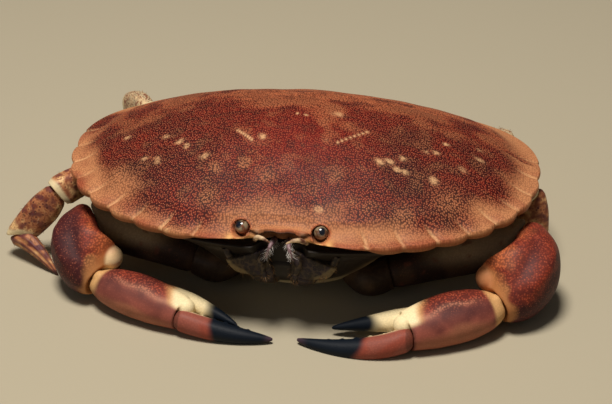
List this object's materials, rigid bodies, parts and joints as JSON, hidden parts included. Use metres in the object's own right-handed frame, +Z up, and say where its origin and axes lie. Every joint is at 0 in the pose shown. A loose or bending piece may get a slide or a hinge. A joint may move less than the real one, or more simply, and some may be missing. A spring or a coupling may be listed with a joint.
{
  "type": "brown crab model",
  "caption": "Life-size still model of a brown edible crab resting on the floor, with lobed oval shell, folded claws and walking legs.",
  "frame": {"origin": "on the floor, on the flat of the belly that rests there, under the middle of the shell", "axes": "the crab faces -Y, +X is towards its own left side and +Z is up"},
  "size_m": [0.1941, 0.1721, 0.0578],
  "materials": {
    "red_shell": "satin, grainy shell",
    "cream_shell": "satin shell",
    "leg_shell": "satin shell",
    "claw_shell": "satin, slightly glossy shell",
    "eye": "glossy",
    "feeler": "satin skin"
  },
  "bodies": {
    "root": {"abdomen": "cream_shell", "antenna_left": "feeler", "antenna_right": "feeler", "antennule_left": "feeler", "antennule_right": "feeler", "carapace": "red_shell", "claw_arm_left": "claw_shell", "claw_arm_right": "claw_shell", "claw_finger_left": "claw_shell", "claw_finger_right": "claw_shell", "claw_palm_left": "claw_shell", "claw_palm_right": "claw_shell", "claw_wrist_left": "claw_shell", "claw_wrist_right": "claw_shell", "eye_left": "eye", "eye_right": "eye", "jaw_left": "cream_shell", "jaw_right": "cream_shell", "leg1_carpus_left": "leg_shell", "leg1_carpus_right": "leg_shell", "leg1_dactylus_left": "leg_shell", "leg1_dactylus_right": "leg_shell", "leg1_merus_left": "leg_shell", "leg1_merus_right": "leg_shell", "leg1_propodus_left": "leg_shell", "leg1_propodus_right": "leg_shell", "leg2_carpus_left": "leg_shell", "leg2_carpus_right": "leg_shell", "leg2_dactylus_left": "leg_shell", "leg2_dactylus_right": "leg_shell", "leg2_merus_left": "leg_shell", "leg2_merus_right": "leg_shell", "leg2_propodus_left": "leg_shell", "leg2_propodus_right": "leg_shell", "leg3_carpus_left": "leg_shell", "leg3_carpus_right": "leg_shell", "leg3_dactylus_left": "leg_shell", "leg3_dactylus_right": "leg_shell", "leg3_merus_left": "leg_shell", "leg3_merus_right": "leg_shell", "leg3_propodus_left": "leg_shell", "leg3_propodus_right": "leg_shell", "leg4_carpus_left": "leg_shell", "leg4_carpus_right": "leg_shell", "leg4_dactylus_left": "leg_shell", "leg4_dactylus_right": "leg_shell", "leg4_merus_left": "leg_shell", "leg4_merus_right": "leg_shell", "leg4_propodus_left": "leg_shell", "leg4_propodus_right": "leg_shell", "underside": "cream_shell"}
  },
  "joints": []
}
